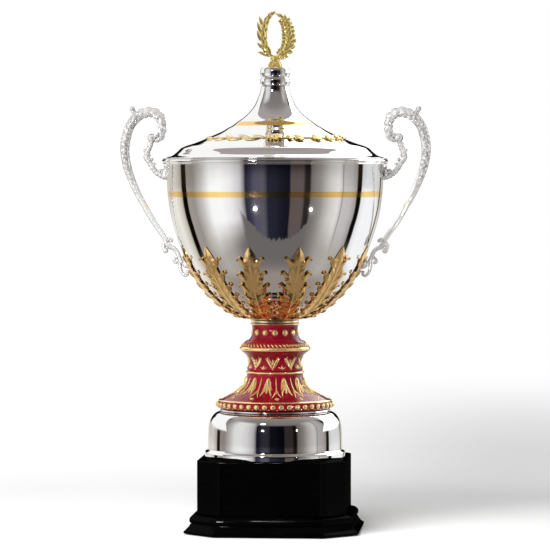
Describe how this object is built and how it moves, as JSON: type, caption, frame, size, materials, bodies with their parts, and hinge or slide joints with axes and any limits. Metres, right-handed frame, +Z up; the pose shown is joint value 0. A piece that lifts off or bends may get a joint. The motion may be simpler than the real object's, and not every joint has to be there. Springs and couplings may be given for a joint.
{
  "type": "lidded two-handled cup trophy",
  "caption": "Tall silver cup trophy with a lift-off domed lid, scroll handles, gilt leaf decoration, a red enamelled stem and a black chamfered plinth.",
  "frame": {"origin": "middle of the plinth's underside, on the surface the trophy stands on", "axes": "+Z up the cup's axis, handles along +X and -X, front towards -Y"},
  "size_m": [0.3594, 0.2604, 0.5993],
  "materials": {
    "silver_plate": "mirror-polished silver plate",
    "gilt": "gilt, polished on the high points",
    "red_enamel": "glossy crimson enamel with gilt relief",
    "black_lacquer": "piano-black lacquer",
    "steel": "zinc-plated hardware",
    "felt": "pressed felt"
  },
  "bodies": {
    "cup": {"base_felt": "felt", "plinth_foot": "black_lacquer", "plinth_body": "black_lacquer", "foot_screw_1": "steel", "foot_screw_2": "steel", "foot_screw_3": "steel", "foot_screw_4": "steel", "plinth_washer": "steel", "plinth_nut": "steel", "tie_rod": "steel", "base_dome": "silver_plate", "dome_backing_plate": "steel", "stem_seat": "silver_plate", "stem_foot": "red_enamel", "stem_waist": "red_enamel", "stem_knop": "red_enamel", "stem_neck": "red_enamel", "collar_lip": "gilt", "neck_collar": "silver_plate", "leaf_calyx": "gilt", "bowl": "silver_plate", "bowl_rim": "silver_plate", "bowl_washer": "steel", "bowl_nut": "steel", "handle_left": "silver_plate", "handle_right": "silver_plate", "handle_screw_left_upper": "steel", "handle_screw_left_lower": "steel", "handle_screw_right_upper": "steel", "handle_screw_right_lower": "steel", "handle_washer_left_upper": "steel", "handle_washer_left_lower": "steel", "handle_washer_right_upper": "steel", "handle_washer_right_lower": "steel"},
    "lid": {"lid_shell": "silver_plate", "lid_guide_ring": "silver_plate", "lid_collar": "silver_plate", "lid_spray_front": "gilt", "lid_spray_back": "gilt", "finial_wreath": "gilt", "finial_stud": "steel", "finial_washer": "steel", "finial_nut": "steel"}
  },
  "joints": [
    {"name": "lid_lift", "type": "slide", "parent": "cup", "child": "lid", "axis": [0, 0, 1], "range_m": [0, 0.12]}
  ]
}
